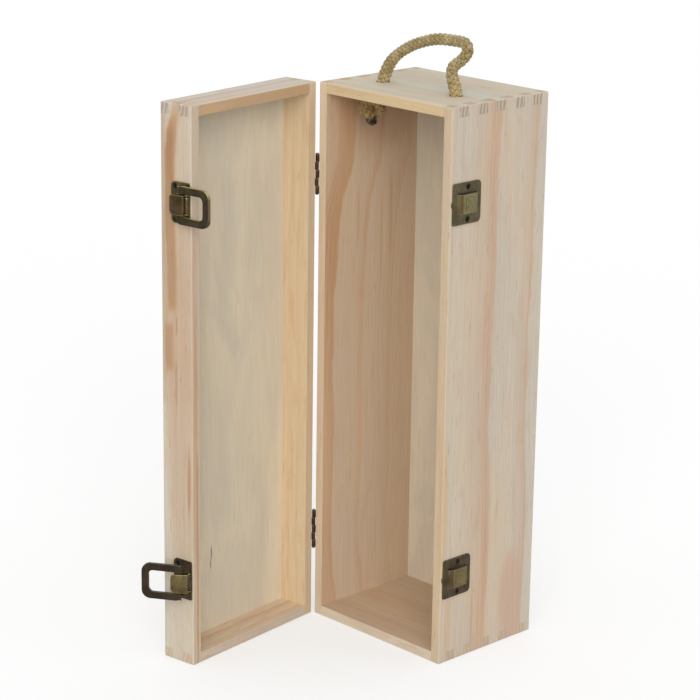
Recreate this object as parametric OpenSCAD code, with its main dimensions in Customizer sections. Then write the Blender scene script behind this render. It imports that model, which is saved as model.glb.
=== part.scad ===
// Tall wooden case for one wine bottle: finger-jointed pine boards, a shallow hinged lid,
// two butt hinges, two draw latches with their catches and a rope handle through the top.
// Millimetres. The case stands on its bottom end, its mouth faces -Y and the lid, hung on
// the left, stands open. The origin is the middle of the case's bottom end.

/* [Case and lid] */
// Outside width of the case and of the lid
box_w = 113.2; // [100:0.2:140]
// Outside height of the case and of the lid
box_h = 350; // [320:1:420]
// Depth of the case without its lid
case_d = 83.5; // [75:0.5:110]
// Depth of the lid tray
lid_d = 24.4; // [21:0.2:40]
// Thickness of the pine boards
board_t = 6.6; // [6:0.1:9]
// Thickness of the plywood back and of the lid's panel
panel_t = 4; // [3:0.5:5]
// How far the panels are let into the boards
rabbet_w = 3.2; // [2.5:0.1:4]
// Radius of the sanded outer edges
ease_r = 0.8; // [0.4:0.1:1.2]
// Open gap left in each glue line
glue_gap = 0.05; // [0.03:0.01:0.1]
// Gap between the two rims when the lid is shut
seam_gap = 0.4; // [0.3:0.1:0.8]
// Angle at which the lid stands open
lid_open = 82.8; // [20:0.1:150]
// Width of a finger. The case and the lid were jointed as one box and then sawn apart.
finger_w = 8; // [6:0.5:9]
// What the case kept of the finger that was sawn through
rim_finger = 6; // [4:0.2:6.4]

/* [Hinges] */
// Height of each hinge's middle above or below its own end of the case
hinge_inset = 58; // [40:1:90]
// Length of a hinge
hinge_l = 25.4; // [20:0.2:32]
// Distance from the hinge line to a leaf's free edge
leaf_w = 9; // [8:0.5:13]
// Thickness of a leaf
leaf_t = 0.6; // [0.5:0.05:0.65]
// Distance of the hinge line outside the left face
hinge_offset = 1.25; // [1.25:0.05:1.5]
// Number of knuckles
knuckles = 5; // [3:2:7]
// Radius of the hinge pin
hinge_pin_r = 0.5; // [0.4:0.05:0.55]

/* [Latches] */
// Distance of the upper latch's middle below the top of the case
upper_latch_drop = 58.3; // [40:0.1:100]
// Height of the lower latch's middle above the foot of the case
lower_latch_rise = 55.5; // [40:0.1:100]
// Thickness of the sheet brass
sheet_t = 0.8; // [0.6:0.1:1]
// Height of the latch's base plate
base_h = 25.2; // [24:0.2:30]
// Depth of the latch's base plate
base_d = 14.7; // [14:0.1:18]
// Distance of the base plate from the lid's rim
base_edge = 0.8; // [0.5:0.1:1.2]
// Width of the lever
lever_w = 12; // [11.6:0.2:13]
// Length of the lever's top
lever_l = 10.8; // [10:0.2:12]
// Height of the lever's top above the lid
lever_top = 6.7; // [6.6:0.1:7.4]
// Distance of the lever's pivot from the lid's rim
pivot_in = 1.5; // [1.5:0.1:2]
// Height of the lever's pivot above the lid
pivot_up = 2.5; // [2.4:0.1:2.7]
// Radius of the lever's pin
lever_pin_r = 0.7; // [0.6:0.05:0.8]
// Distance of the ring's pin beyond the lever's pivot
link_in = 4.7; // [4.2:0.1:5.2]
// Height of the ring's pin above the lever's pivot
link_up = 2.2; // [2.1:0.1:2.4]
// Radius of the ring's pin
ring_pin_r = 0.6; // [0.5:0.05:0.7]
// Reach of the ring from its pin to its far edge
ring_reach = 24.5; // [23:0.5:27]
// Outside height of the ring
ring_w = 22.8; // [22:0.2:24]
// Width of the ring's strap
strap_w = 4.3; // [3.6:0.1:4.4]
// Thickness of the ring's strap
strap_t = 2.2; // [2:0.1:2.4]
// How far the lower latch's lever is lifted
lower_lift = 29; // [0:1:60]
// Direction of the upper ring, from straight over the seam to thrown back
upper_throw = 0; // [0:1:90]
// Direction of the lower ring, from straight over the seam to thrown back
lower_throw = 154; // [90:1:170]

/* [Catches] */
// Height of a catch plate
catch_h = 25.4; // [24:0.2:30]
// Depth of a catch plate
catch_d = 23.8; // [22:0.2:27]
// Distance of a catch plate from the case's rim
catch_edge = 1.4; // [1.2:0.1:2]
// Width of the hook's tongue
tongue_w = 11.8; // [10:0.2:12.4]
// Distance from the case's rim to the tongue's root
tongue_root = 4; // [3.6:0.1:5]
// Distance from the case's rim to the tongue's free end
tongue_end = 19.8; // [18:0.1:21]
// Open slit between the tongue and the plate, above and below it
tongue_slit = 0.6; // [0.4:0.1:1]

/* [Nails] */
// Radius of a nail's shank
nail_r = 0.6; // [0.5:0.05:0.7]
// Radius of a nail's head
nail_head_r = 1.9; // [1.2:0.1:1.9]
// Height of a nail's domed head
nail_head_t = 0.4; // [0.3:0.05:0.45]
// Length of nail in the wood
nail_depth = 5; // [4:0.2:5.4]
// Distance between the two nails of a latch or catch
nail_pitch = 19.7; // [19.5:0.1:20.5]

/* [Rope handle] */
// Diameter of the plaited rope
rope_d = 7.5; // [6:0.5:8]
// Distance between the two rope holes
rope_pitch = 62.4; // [50:0.2:80]
// Clearance all round the rope in its holes
rope_play = 0.5; // [0.3:0.1:1]
// Radius of the ring that each strand of a knot follows
knot_ring_r = 5.4; // [4:0.2:6]

/* [Hidden] */
$fn = 48;
// Tiny overlap that keeps a cut from ending flush with a face
eps = 0.01;
// Running clearance of every pin in its bore
pin_play = 0.05;
// Clearance between neighbouring knuckles, and between cheeks and knuckle
side_play = 0.2;
// Clearance between a hinge's knuckles and the wood
knuckle_play = 0.15;
// Clearance of a nail in its plate and, half of it, in the wood
nail_play = 0.1;
// Room over and under the ring's bar when it is hooked
hook_play = 0.2;
// Open window past the tongue's free end
hook_room = 1.3;
// How far a catch's nails sit behind the middle of its plate
catch_nail_back = 0.8;
// Distance of a hinge nail's head from the end of its leaf
hinge_nail_edge = 2.3;
// The shallow square that is stamped up on the tongue: its margin and its height
stamp_margin = 2;
stamp_t = 0.2;
// The catch plate's bulge at its rim edge, and the hollow pressed into it
bulge_reach = 0.4;
bulge_r = 3;
hollow_r = 8;
hollow_depth = 0.3;
// Corner radii of the plates, the ring and the lever's lip
plate_corner_r = 3;
plate_rim_r = 1.2;
ring_corner_r = 5.4;
ring_inner_r = 3;
lip_r = 3;
// How much the lever's top is crowned along its length
lever_crown = 0.7;
// A knot: the share of its thickness that the rope keeps, the tilt of its turns and of
// its tail, and its gap below the top
knot_squeeze = 0.92;
knot_tilt = 70;
knot_tail_tilt = 150;
knot_gap = 0.4;

rim_y = -case_d / 2;
lid_rim_y = rim_y - seam_gap;
hinge_x = -box_w / 2 - hinge_offset;
hinge_y = rim_y - seam_gap / 2;
lip = board_t - rabbet_w;
hinge_heights = [hinge_inset, box_h - hinge_inset];
lower_latch_z = lower_latch_rise;
upper_latch_z = box_h - upper_latch_drop;
case_mid_y = -(lid_d + seam_gap) / 2;

knuckle_r = hinge_offset - knuckle_play;
leaf_start = knuckle_r + side_play * 1.5;
knuckle_pitch = hinge_l / knuckles;
hinge_nail_u = leaf_start + (leaf_w - leaf_start) / 2;
hinge_nail_z = hinge_l / 2 - nail_head_r - hinge_nail_edge;

cheek_r = pivot_up - sheet_t - side_play;
lever_knuckle_r = pivot_up - sheet_t - side_play;
lever_knuckle_l = lever_w - 2 * sheet_t - 2 * side_play * 4;
ring_inner_h = ring_w / 2 - strap_w;
base_nail_s = base_edge + base_d - plate_corner_r - side_play;

tongue_under = strap_t + hook_play;
tongue_ramp = 2 * tongue_under - side_play * 3;
tongue_steps = 8;
window_start = tongue_root + tongue_ramp;
window_end = tongue_end + hook_room;
catch_nail_y = catch_edge + catch_d / 2 + catch_nail_back;

hole_r = rope_d / 2 + rope_play;
knot_strand_r = knot_squeeze * rope_d / 2;
knot_half_h = knot_ring_r * sin(knot_tilt) + knot_strand_r;
knot_drop = board_t + knot_half_h + knot_gap;
// How far each knot sits off its hole, which it still covers
left_knot_shift = [-2.6, -2.6];
right_knot_shift = [1, -1.5];
rope_sides = 10;
rope_steps = 3;
// The rope's route above the top of the case, from the left hole to the right one, for
// holes that are arch_pitch apart. Its ends are held by the holes, and what lies between
// was chosen by hand.
arch_pitch = 62.4;
rope_arch = [
    [4, 0, 9], [9.5, 0, 16], [19, 0, 22.5], [30, 0, 27.5], [44, 1, 31.5], [58, 3, 32],
    [67, 2, 31.5], [70.5, 0, 27], [67.5, -2, 22], [62.5, -3, 18], [61, -3, 13], [61.5, -1, 6.5]
];

// ---- places -------------------------------------------------------------------------

// Turns what is drawn on the shut lid to where the lid stands open
module on_lid() {
    translate([hinge_x, hinge_y, 0])
        rotate([0, 0, -lid_open])
            translate([-hinge_x, -hinge_y, 0])
                children();
}

// Latch axes: X runs from the lid's rim away from the case, Y out of the lid's free edge
module at_latch(height) {
    on_lid()
        translate([box_w / 2, lid_rim_y, height])
            rotate([0, 0, -90])
                children();
}

// Catch axes: X runs from the case's rim towards its back, Y out of the right face
module at_catch(height) {
    translate([box_w / 2, rim_y, height])
        rotate([0, 0, 90])
            mirror([0, 1, 0])
                children();
}

// Hinge axes: X runs from the hinge line along the leaf, Y out of the left face
module at_case_leaf(height) {
    translate([-box_w / 2, hinge_y, height])
        rotate([0, 0, 90])
            children();
}

module at_lid_leaf(height) {
    on_lid()
        translate([-box_w / 2, hinge_y, height])
            mirror([0, 1, 0])
                rotate([0, 0, 90])
                    children();
}

// Turns the lever and what hangs on it about the lever's pivot
module lifted(angle) {
    translate([pivot_in, pivot_up, 0])
        rotate([0, 0, angle])
            translate([-pivot_in, -pivot_up, 0])
                children();
}

// Moves to the ring's pin with the lever lifted by that angle
module at_link(angle) {
    lifted(angle)
        translate([pivot_in + link_in, pivot_up + link_up, 0])
            rotate([0, 0, -angle])
                children();
}

// ---- wood ---------------------------------------------------------------------------

module rounded_rect(w, h, r) {
    translate([r, 0])
        square([w - 2 * r, h]);
    translate([0, r])
        square([w, h - 2 * r]);
    for (x = [r, w - r], y = [r, h - r])
        translate([x, y])
            circle(r);
}

// A block from the left rear edge of its foot, with all twelve edges sanded round
module eased_block(w, d, h) {
    intersection() {
        linear_extrude(h)
            rounded_rect(w, d, ease_r);
        translate([0, d, 0])
            rotate([90, 0, 0])
                linear_extrude(d)
                    rounded_rect(w, h, ease_r);
        rotate([90, 0, 90])
            linear_extrude(w)
                rounded_rect(d, h, ease_r);
    }
}

// The outline of a finger-jointed frame of that depth, whose first face is at y
module frame_block(y, depth) {
    translate([-box_w / 2, y, 0])
        eased_block(box_w, depth, box_h);
}

// The tenons of one end board, through both side boards. They fill every second place of
// one row of fingers, which runs on from the case into the shut lid.
module end_tenons(y, depth, z, thickness, shrink) {
    first = rim_y + rim_finger;
    step = 2 * finger_w;
    for (i = [floor((y - first) / step) : floor((y + depth - first) / step)])
        if (first + i * step + finger_w > y + shrink)
            translate([-box_w / 2 - eps, first + i * step + shrink, z])
                cube([box_w + 2 * eps, finger_w - 2 * shrink, thickness]);
}

// A side board: side is -1 for the left one and 1 for the right one
module side_board(side, y, depth) {
    intersection() {
        frame_block(y, depth);
        difference() {
            translate([side < 0 ? -box_w / 2 : box_w / 2 - board_t, y, 0])
                cube([board_t, depth, box_h]);
            for (z = [-glue_gap, box_h - board_t - glue_gap])
                end_tenons(y, depth, z, board_t + 2 * glue_gap, 0);
        }
    }
}

// An end board with its tenons
module end_board(y, depth, z) {
    intersection() {
        frame_block(y, depth);
        union() {
            translate([-box_w / 2 + board_t + glue_gap, y, z])
                cube([box_w - 2 * board_t - 2 * glue_gap, depth, board_t]);
            end_tenons(y, depth, z, board_t, glue_gap);
        }
    }
}

// A plywood panel that lies flush with the frame's outer face. grow widens it all round
// to cut the rabbet that it sits in.
module panel(y, grow) {
    translate([-box_w / 2 + lip - grow, y - grow, lip - grow])
        cube([box_w - 2 * lip + 2 * grow, panel_t + 2 * grow, box_h - 2 * lip + 2 * grow]);
}

module case_panel(grow) {
    panel(case_d / 2 - panel_t, grow);
}

module lid_panel_at(grow) {
    panel(lid_rim_y - lid_d, grow);
}

module case_left_side() {
    color("burlywood")
        difference() {
            side_board(-1, rim_y, case_d);
            case_panel(glue_gap);
            case_hinge_nail_places()
                pilot_hole();
        }
}

module case_right_side() {
    color("burlywood")
        difference() {
            side_board(1, rim_y, case_d);
            case_panel(glue_gap);
            catch_nail_places()
                pilot_hole();
        }
}

module case_top() {
    color("wheat")
        difference() {
            end_board(rim_y, case_d, box_h - board_t);
            case_panel(glue_gap);
            for (x = [-rope_pitch / 2, rope_pitch / 2])
                translate([x, case_mid_y, box_h - board_t - eps])
                    cylinder(r = hole_r, h = board_t + 2 * eps);
        }
}

module case_bottom() {
    color("wheat")
        difference() {
            end_board(rim_y, case_d, 0);
            case_panel(glue_gap);
        }
}

module case_back() {
    color("tan")
        case_panel(0);
}

module lid_rail(side) {
    difference() {
        side_board(side, lid_rim_y - lid_d, lid_d);
        lid_panel_at(glue_gap);
    }
}

module lid_end_rail(z) {
    color("wheat")
        on_lid()
            difference() {
                end_board(lid_rim_y - lid_d, lid_d, z);
                lid_panel_at(glue_gap);
            }
}

module lid_hinge_rail() {
    color("burlywood")
        difference() {
            on_lid()
                lid_rail(-1);
            lid_hinge_nail_places()
                pilot_hole();
        }
}

module lid_free_rail() {
    color("burlywood")
        difference() {
            on_lid()
                lid_rail(1);
            latch_nail_places()
                pilot_hole();
        }
}

module lid_panel() {
    color("tan")
        on_lid()
            lid_panel_at(0);
}

// ---- nails --------------------------------------------------------------------------

// A nail points along -Y, and its head starts on the XZ plane
module nail() {
    cap_r = (nail_head_r * nail_head_r + nail_head_t * nail_head_t) / (2 * nail_head_t);
    rotate([-90, 0, 0]) {
        translate([0, 0, -nail_depth - sheet_t])
            cylinder(r = nail_r, h = nail_depth + sheet_t + eps);
        intersection() {
            cylinder(r = nail_head_r, h = nail_head_t);
            translate([0, 0, nail_head_t - cap_r])
                sphere(r = cap_r);
        }
    }
}

// The hole that a nail leaves in the wood, deep enough for any plate above it
module pilot_hole() {
    rotate([90, 0, 0])
        translate([0, 0, -eps])
            cylinder(r = nail_r + nail_play / 2, h = nail_depth + sheet_t + nail_play);
}

// A nail hole through a plate of that thickness, which lies on the XZ plane
module nail_hole(thickness) {
    rotate([-90, 0, 0])
        translate([0, 0, -eps])
            cylinder(r = nail_r + nail_play, h = thickness + 2 * eps);
}

module hinge_nail_offsets() {
    for (z = [-hinge_nail_z, hinge_nail_z])
        translate([hinge_nail_u, leaf_t, z])
            children();
}

module latch_nail_offsets() {
    for (z = [-nail_pitch / 2, nail_pitch / 2])
        translate([base_nail_s, sheet_t, z])
            children();
}

module catch_nail_offsets() {
    for (z = [-nail_pitch / 2, nail_pitch / 2])
        translate([catch_nail_y, sheet_t, z])
            children();
}

module case_hinge_nail_places() {
    for (z = hinge_heights)
        at_case_leaf(z)
            hinge_nail_offsets()
                children();
}

module lid_hinge_nail_places() {
    for (z = hinge_heights)
        at_lid_leaf(z)
            hinge_nail_offsets()
                children();
}

module catch_nail_places() {
    for (z = [lower_latch_z, upper_latch_z])
        at_catch(z)
            catch_nail_offsets()
                children();
}

module latch_nail_places() {
    for (z = [lower_latch_z, upper_latch_z])
        at_latch(z)
            latch_nail_offsets()
                children();
}

module case_nails() {
    color("dimgray") {
        case_hinge_nail_places()
            nail();
        catch_nail_places()
            nail();
    }
}

module lid_nails() {
    color("dimgray") {
        lid_hinge_nail_places()
            nail();
        latch_nail_places()
            nail();
    }
}

// ---- hinges -------------------------------------------------------------------------

// One leaf with every second knuckle, counted from first. The knuckles are rolled out of
// the sheet, so each has a leg that runs down to the leaf.
module hinge_leaf(first) {
    difference() {
        union() {
            translate([leaf_start, 0, -hinge_l / 2])
                cube([leaf_w - leaf_start, leaf_t, hinge_l]);
            for (i = [first : 2 : knuckles - 1])
                translate([0, 0, -hinge_l / 2 + i * knuckle_pitch + side_play / 2])
                    linear_extrude(knuckle_pitch - side_play)
                        union() {
                            translate([0, hinge_offset])
                                circle(knuckle_r);
                            square([leaf_start + leaf_t, leaf_t]);
                            square([knuckle_r * 0.8, hinge_offset]);
                        }
        }
        translate([0, hinge_offset, -hinge_l])
            cylinder(r = hinge_pin_r + pin_play, h = 2 * hinge_l);
        for (z = [-hinge_nail_z, hinge_nail_z])
            translate([hinge_nail_u, 0, z])
                nail_hole(leaf_t);
    }
}

// The pin runs the whole hinge and has a flat head at each end
module hinge_pin(height) {
    color("darkkhaki")
        translate([hinge_x, hinge_y, height]) {
            translate([0, 0, -hinge_l / 2])
                cylinder(r = hinge_pin_r, h = hinge_l);
            for (z = [-hinge_l / 2 - sheet_t / 2, hinge_l / 2])
                translate([0, 0, z])
                    cylinder(r = knuckle_r * 0.85, h = sheet_t / 2);
        }
}

module case_leaf(height) {
    color("darkkhaki")
        at_case_leaf(height)
            hinge_leaf(0);
}

module lid_leaf(height) {
    color("darkkhaki")
        at_lid_leaf(height)
            hinge_leaf(1);
}

// ---- catches ------------------------------------------------------------------------

// A plate outline from x, with its far corners round
module plate_outline(x, d, h) {
    translate([x, -h / 2]) {
        rounded_rect(d, h, plate_corner_r);
        rounded_rect(d / 2, h, plate_rim_r);
    }
}

// The S-shaped rise of the tongue at u from 0 to 1, and how steep it is there
function rise_point(u) = [tongue_root + tongue_ramp * u, sheet_t + tongue_under * u * u * (3 - 2 * u)];

function rise_slope(u) = 6 * u * (1 - u) * tongue_under / tongue_ramp;

// The point across the sheet from the rise's upper side
function rise_under(u) =
    rise_point(u) + sheet_t * [rise_slope(u), -1] / norm([rise_slope(u), 1]);

// The tongue's profile: one sheet that rises from the plate and then runs level
module tongue_profile() {
    steps = [0 : 1 / tongue_steps : 1];
    polygon(concat(
        [for (u = steps) rise_point(u)],
        [[tongue_end, tongue_under + sheet_t], [tongue_end, tongue_under]],
        [for (u = steps) rise_under(1 - u)]
    ));
}

// A catch: the tongue is cut out of the plate and raised, with its free end away from the
// rim, so that the ring's bar slides under it. A square is stamped up on the tongue, and
// the plate has a thumb-shaped hollow and bulge at its rim edge.
module catch_piece(height) {
    color("darkolivegreen")
        at_catch(height) {
            difference() {
                rotate([-90, 0, 0])
                    linear_extrude(sheet_t)
                        difference() {
                            union() {
                                plate_outline(catch_edge, catch_d, catch_h);
                                translate([bulge_reach + bulge_r, 0])
                                    circle(bulge_r);
                            }
                            translate([window_start, -tongue_w / 2 - tongue_slit])
                                square([window_end - window_start, tongue_w + 2 * tongue_slit]);
                        }
                translate([bulge_reach + bulge_r * 0.6, sheet_t + hollow_r - hollow_depth, 0])
                    sphere(r = hollow_r);
                for (z = [-nail_pitch / 2, nail_pitch / 2])
                    translate([catch_nail_y, 0, z])
                        nail_hole(sheet_t);
            }
            translate([0, 0, -tongue_w / 2])
                linear_extrude(tongue_w)
                    tongue_profile();
            translate([
                window_start + stamp_margin,
                tongue_under + sheet_t - eps,
                -tongue_w / 2 + stamp_margin
            ])
                cube([
                    tongue_end - window_start - 2 * stamp_margin,
                    stamp_t + eps,
                    tongue_w - 2 * stamp_margin
                ]);
        }
}

// ---- latches ------------------------------------------------------------------------

// The base plate, with the knuckle that holds the lever's pin rolled up at its rim edge
module latch_base(height) {
    color("darkolivegreen")
        at_latch(height)
            difference() {
                union() {
                    rotate([-90, 0, 0])
                        linear_extrude(sheet_t)
                            plate_outline(base_edge, base_d, base_h);
                    translate([0, 0, -lever_knuckle_l / 2])
                        linear_extrude(lever_knuckle_l)
                            union() {
                                translate([pivot_in, pivot_up])
                                    circle(lever_knuckle_r);
                                translate([pivot_in - lever_knuckle_r / 2, 0])
                                    square([lever_knuckle_r, pivot_up]);
                            }
                }
                translate([pivot_in, pivot_up, -lever_w])
                    cylinder(r = lever_pin_r + pin_play, h = 2 * lever_w);
                for (z = [-nail_pitch / 2, nail_pitch / 2])
                    translate([base_nail_s, 0, z])
                        nail_hole(sheet_t);
            }
}

// The lever's pin, held in the base plate's knuckle and carrying the lever's cheeks
module lever_pin(height) {
    color("darkkhaki")
        at_latch(height)
            translate([pivot_in, pivot_up, -lever_w / 2 - side_play])
                cylinder(r = lever_pin_r, h = lever_w + 2 * side_play);
}

// The lever's crowned top, cut from a wide ring so that it has true curves
module lever_top_sheet() {
    half = lever_l / 2;
    bow_r = (half * half + lever_crown * lever_crown) / (2 * lever_crown);
    intersection() {
        translate([pivot_in + half, lever_top - bow_r, -lever_w / 2])
            difference() {
                cylinder(r = bow_r, h = lever_w);
                translate([0, 0, -eps])
                    cylinder(r = bow_r - sheet_t, h = lever_w + 2 * eps);
            }
        translate([pivot_in, 0, 0])
            rotate([-90, 0, 0])
                linear_extrude(2 * lever_top)
                    union() {
                        translate([-lip_r, -lever_w / 2])
                            rounded_rect(lever_l + lip_r, lever_w, lip_r);
                        translate([0, -lever_w / 2])
                            square([lever_l / 2, lever_w]);
                    }
        translate([pivot_in, 0, -lever_w])
            cube([lever_l, 2 * lever_top, 2 * lever_w]);
    }
}

// A lever: a crowned top that ends in a round lip, and two cheeks bored for both pins
module lever(height, lift) {
    cheek_z = lever_w / 2 - sheet_t;
    crown_under = lever_top - sheet_t - lever_crown / 3;
    color("darkolivegreen")
        at_latch(height)
            lifted(lift)
                difference() {
                    union() {
                        lever_top_sheet();
                        for (z = [-lever_w / 2, cheek_z])
                            translate([0, 0, z])
                                linear_extrude(sheet_t)
                                    union() {
                                        translate([pivot_in, pivot_up])
                                            circle(cheek_r);
                                        translate([pivot_in + link_in, pivot_up + link_up])
                                            circle(cheek_r - side_play / 2);
                                        polygon([
                                            [pivot_in, pivot_up],
                                            [pivot_in + cheek_r * 0.7, pivot_up - cheek_r * 0.7],
                                            [pivot_in + link_in, pivot_up + link_up - cheek_r * 0.9],
                                            [pivot_in + link_in + cheek_r, pivot_up + link_up],
                                            [pivot_in + lever_l * 0.72, crown_under + sheet_t / 2],
                                            [pivot_in, crown_under]
                                        ]);
                                    }
                    }
                    translate([pivot_in, pivot_up, -lever_w])
                        cylinder(r = lever_pin_r + pin_play, h = 2 * lever_w);
                    translate([pivot_in + link_in, pivot_up + link_up, -lever_w])
                        cylinder(r = ring_pin_r + pin_play, h = 2 * lever_w);
                }
}

// The pin in the lever's cheeks, with a ring's arm on each end
module ring_pin(height, lift) {
    color("darkkhaki")
        at_latch(height)
            at_link(lift)
                translate([0, 0, -ring_w / 2 + side_play])
                    cylinder(r = ring_pin_r, h = ring_w - 2 * side_play);
}

// The ring: a flat strap bent round into a loop, open only between its two bored arms
module ring(height, lift, throw) {
    arm_end = strap_w / 2;
    loop_r = ring_inner_r;
    color("darkolivegreen")
        at_latch(height)
            at_link(lift)
                rotate([0, 0, 180 - throw])
                    difference() {
                        rotate([90, 0, 0])
                            translate([0, 0, -strap_t / 2])
                                linear_extrude(strap_t)
                                    difference() {
                                        translate([-arm_end, -ring_w / 2])
                                            rounded_rect(ring_reach + arm_end, ring_w, ring_corner_r);
                                        translate([-2 * strap_w, -ring_inner_h])
                                            rounded_rect(ring_reach + strap_w, 2 * ring_inner_h, loop_r);
                                    }
                        translate([0, 0, -ring_w])
                            cylinder(r = ring_pin_r + pin_play, h = 2 * ring_w);
                    }
}

// ---- rope ---------------------------------------------------------------------------

// A point of a smooth curve through b and c, with neighbours a and d, at u from 0 to 1
function blend(a, b, c, d, u) =
    0.5 * (2 * b + (c - a) * u + (2 * a - 5 * b + 4 * c - d) * u * u
        + (3 * b - a - 3 * c + d) * u * u * u);

// The smooth curve through points, in steps pieces between each two
function smooth(points, steps) = [
    for (i = [0 : len(points) - 2], k = [0 : steps - 1])
        blend(points[max(i - 1, 0)], points[i], points[i + 1],
            points[min(i + 2, len(points) - 1)], k / steps),
    points[len(points) - 1]
];

function unit(v) = v / norm(v);

function heading(points, i) =
    unit(points[min(i + 1, len(points) - 1)] - points[max(i - 1, 0)]);

// A direction square to each heading, carried along the curve without twisting
function carried(points) = [
    for (
        i = 0, n = [0, 1, 0];
        i < len(points);
        i = i + 1,
        n = i < len(points) ? unit(n - (n * heading(points, i)) * heading(points, i)) : n
    )
        n
];

// A round tube of radius r along points
module tube(points, r, sides) {
    side_dirs = carried(points);
    rings = [
        for (i = [0 : len(points) - 1])
            let (n = side_dirs[i], b = cross(heading(points, i), n))
                for (k = [0 : sides - 1])
                    points[i] + r * (cos(360 * k / sides) * n + sin(360 * k / sides) * b)
    ];
    last = (len(points) - 1) * sides;
    polyhedron(
        rings,
        concat(
            [[for (k = [0 : sides - 1]) k]],
            [
                for (i = [0 : len(points) - 2], k = [0 : sides - 1])
                    let (a = i * sides + k, b = i * sides + (k + 1) % sides)
                        [a, a + sides, b + sides]
            ],
            [
                for (i = [0 : len(points) - 2], k = [0 : sides - 1])
                    let (a = i * sides + k, b = i * sides + (k + 1) % sides)
                        [a, b + sides, b]
            ],
            [[for (k = [sides - 1 : -1 : 0]) last + k]]
        )
    );
}

function rope_route() =
    let (left = -rope_pitch / 2, right = rope_pitch / 2, down = -board_t)
        concat(
            [[left, 0, down], [left, 0, -board_t / 2], [left, 0, 0]],
            [for (p = rope_arch) [left + p.x * rope_pitch / arch_pitch, p.y, p.z]],
            [[right, 0, 0], [right, 0, -board_t / 2], [right, 0, down]]
        );

module rope_handle() {
    color("darkgoldenrod")
        translate([0, case_mid_y, box_h])
            tube(smooth(rope_route(), rope_steps), rope_d / 2, rope_sides);
}

// A stopper knot under the top: three turns of the rope over each other, and its tail
module knot(x, lean, shift) {
    color("darkgoldenrod")
        translate([x + shift.x, case_mid_y + shift.y, box_h - knot_drop]) {
            for (turn = [0, 60, 120])
                rotate([0, 0, turn + lean])
                    rotate([knot_tilt, 0, 0])
                        rotate_extrude()
                            translate([knot_ring_r, 0])
                                circle(knot_strand_r);
            rotate([0, 0, lean])
                rotate([0, knot_tail_tilt, 0])
                    cylinder(r = knot_strand_r, h = knot_half_h + rope_d / 2);
        }
}

case_left_side();
case_right_side();
case_top();
case_bottom();
case_back();
lid_hinge_rail();
lid_free_rail();
lid_end_rail(box_h - board_t);  // lid_top_rail
lid_end_rail(0);  // lid_bottom_rail
lid_panel();
case_leaf(hinge_heights[1]);  // upper_hinge_case_leaf
case_leaf(hinge_heights[0]);  // lower_hinge_case_leaf
lid_leaf(hinge_heights[1]);  // upper_hinge_lid_leaf
lid_leaf(hinge_heights[0]);  // lower_hinge_lid_leaf
hinge_pin(hinge_heights[1]);  // upper_hinge_pin
hinge_pin(hinge_heights[0]);  // lower_hinge_pin
catch_piece(upper_latch_z);  // upper_catch
catch_piece(lower_latch_z);  // lower_catch
latch_base(upper_latch_z);  // upper_latch_base
latch_base(lower_latch_z);  // lower_latch_base
lever_pin(upper_latch_z);  // upper_lever_pin
lever_pin(lower_latch_z);  // lower_lever_pin
lever(upper_latch_z, 0);  // upper_lever
lever(lower_latch_z, lower_lift);  // lower_lever
ring_pin(upper_latch_z, 0);  // upper_ring_pin
ring_pin(lower_latch_z, lower_lift);  // lower_ring_pin
ring(upper_latch_z, 0, upper_throw);  // upper_ring
ring(lower_latch_z, lower_lift, lower_throw);  // lower_ring
case_nails();
lid_nails();
rope_handle();
knot(-rope_pitch / 2, 200, left_knot_shift);  // left_knot
knot(rope_pitch / 2, 20, right_knot_shift);  // right_knot
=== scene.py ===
"""The looks of a tall wooden wine box: sanded pine, antique brass and a plaited rope handle.

Metres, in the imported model's frame: the case stands on its bottom end, its mouth faces -Y,
and the lid, hung on the left, stands open. The grain of the wood is laid out in mm.
"""

import math

import bmesh
import bpy
import numpy as np
from mathutils import Matrix, Vector, noise


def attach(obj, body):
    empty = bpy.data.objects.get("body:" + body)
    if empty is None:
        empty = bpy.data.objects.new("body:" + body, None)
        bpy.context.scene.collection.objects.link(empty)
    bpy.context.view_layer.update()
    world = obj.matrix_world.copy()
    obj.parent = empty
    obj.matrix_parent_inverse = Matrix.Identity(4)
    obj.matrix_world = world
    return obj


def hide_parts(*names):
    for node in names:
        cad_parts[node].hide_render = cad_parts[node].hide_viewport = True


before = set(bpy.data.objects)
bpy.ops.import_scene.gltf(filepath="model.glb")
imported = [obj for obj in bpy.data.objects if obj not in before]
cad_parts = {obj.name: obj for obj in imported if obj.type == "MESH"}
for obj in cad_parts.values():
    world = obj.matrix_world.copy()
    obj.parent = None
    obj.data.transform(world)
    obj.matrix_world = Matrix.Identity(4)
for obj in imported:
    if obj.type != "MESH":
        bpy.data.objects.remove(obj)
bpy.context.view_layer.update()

MM = 0.001

# The case and the lid, as in the part's source
BOX_W = 113.2 * MM
BOX_H = 350 * MM
CASE_D = 83.5 * MM
LID_D = 24.4 * MM
BOARD_T = 6.6 * MM
PANEL_T = 4 * MM
SEAM_GAP = 0.4 * MM
HINGE_OFFSET = 1.25 * MM
LID_OPEN = math.radians(82.8)
HINGE_AXIS = Vector((-BOX_W / 2 - HINGE_OFFSET, -CASE_D / 2 - SEAM_GAP / 2, 0))

# From where the lid stands open to the lid's own axes, in which it is shut
LID_BACK = (
    Matrix.Translation(HINGE_AXIS)
    @ Matrix.Rotation(LID_OPEN, 4, "Z")
    @ Matrix.Translation(-HINGE_AXIS)
)


# ---- camera ---------------------------------------------------------------------------

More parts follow.
